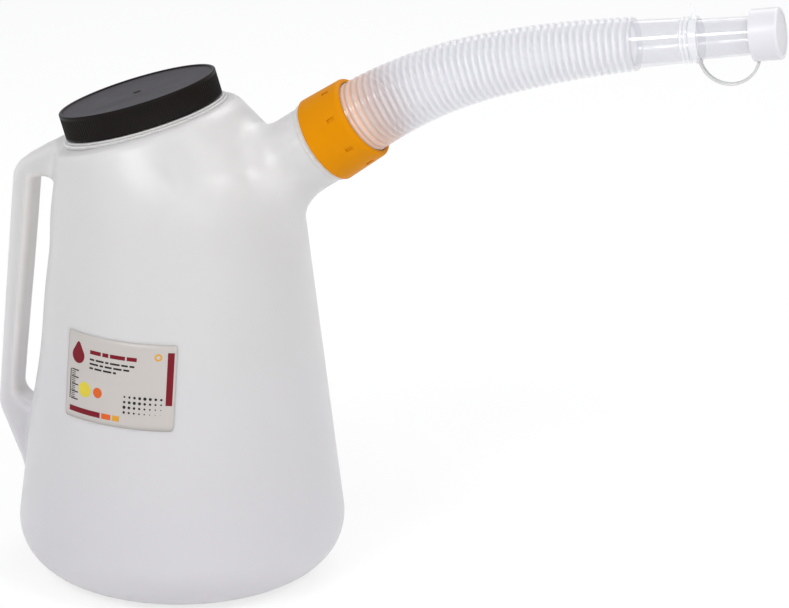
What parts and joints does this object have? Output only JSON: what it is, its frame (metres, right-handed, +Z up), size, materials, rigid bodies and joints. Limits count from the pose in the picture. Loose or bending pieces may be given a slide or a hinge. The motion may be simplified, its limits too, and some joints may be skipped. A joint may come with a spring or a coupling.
{
  "type": "oil jug",
  "caption": "Blown plastic oil jug with a hollow grip, a screw-on filler lid and a flexible pouring spout with a tethered cap.",
  "frame": {"origin": "centre of the round base, on the floor", "axes": "+Z up, +X towards the pouring spout, -X towards the grip"},
  "size_m": [0.4589, 0.1912, 0.3636],
  "materials": {
    "jug_plastic": "milky, semi-clear blown polyethylene with a soft sheen",
    "lid_plastic": "black moulded, finely knurled skirt",
    "liner_plastic": "soft foam disc",
    "collar_plastic": "amber-orange moulded",
    "gasket_rubber": "soft black ring",
    "hose_plastic": "clear corrugated, cool tint",
    "nozzle_plastic": "clear moulded, cool tint",
    "cap_plastic": "milky moulded",
    "tether_plastic": "semi-clear soft moulded",
    "label_film": "thin printed film"
  },
  "bodies": {
    "jug": {"jug_body": "jug_plastic", "label": "label_film"},
    "lid_liner": {"filler_seal": "liner_plastic"},
    "lid": {"filler_lid": "lid_plastic"},
    "collar_gasket": {"spout_gasket": "gasket_rubber"},
    "collar": {"spout_collar": "collar_plastic"},
    "spout": {"spout_hose": "hose_plastic"},
    "nozzle": {"spout_nozzle": "nozzle_plastic", "cap_tether": "tether_plastic"},
    "cap": {"spout_cap": "cap_plastic"}
  },
  "joints": [
    {"name": "lid_rise", "type": "slide", "parent": "jug", "child": "lid_liner", "axis": [-0.299, 0, 0.9542], "range_m": [0, 0.01501]},
    {"name": "lid_turn", "type": "hinge", "parent": "lid_liner", "child": "lid", "pos_m": [-0.02288, 0, 0.276], "axis": [-0.299, 0, 0.9542], "range_deg": [0, 1080]},
    {"name": "collar_travel", "type": "slide", "parent": "jug", "child": "collar_gasket", "axis": [0.8161, 0, 0.5779], "range_m": [0, 0.02251]},
    {"name": "collar_turn", "type": "hinge", "parent": "collar_gasket", "child": "collar", "pos_m": [0.09794, 0, 0.27234], "axis": [0.8161, 0, 0.5779], "range_deg": [0, 1620]},
    {"name": "spout_swivel", "type": "hinge", "parent": "collar_gasket", "child": "spout", "pos_m": [0.1061, 0, 0.27812], "axis": [0.8161, 0, 0.5779], "continuous": true},
    {"name": "spout_bend", "type": "hinge", "parent": "spout", "child": "nozzle", "pos_m": [0.18301, 0, 0.31729], "axis": [0, 1, 0], "range_deg": [-60, 45], "deforming": ["spout_hose"]},
    {"name": "cap_pull", "type": "slide", "parent": "nozzle", "child": "cap", "axis": [0.9869, 0, 0.1616], "range_m": [0, 0.02], "deforming": ["cap_tether"]}
  ],
  "couplings": [
    {"joint": "lid_rise", "follows": "lid_turn", "m_per_rad": 0.00079577},
    {"joint": "collar_travel", "follows": "collar_turn", "m_per_rad": 0.00079577}
  ]
}
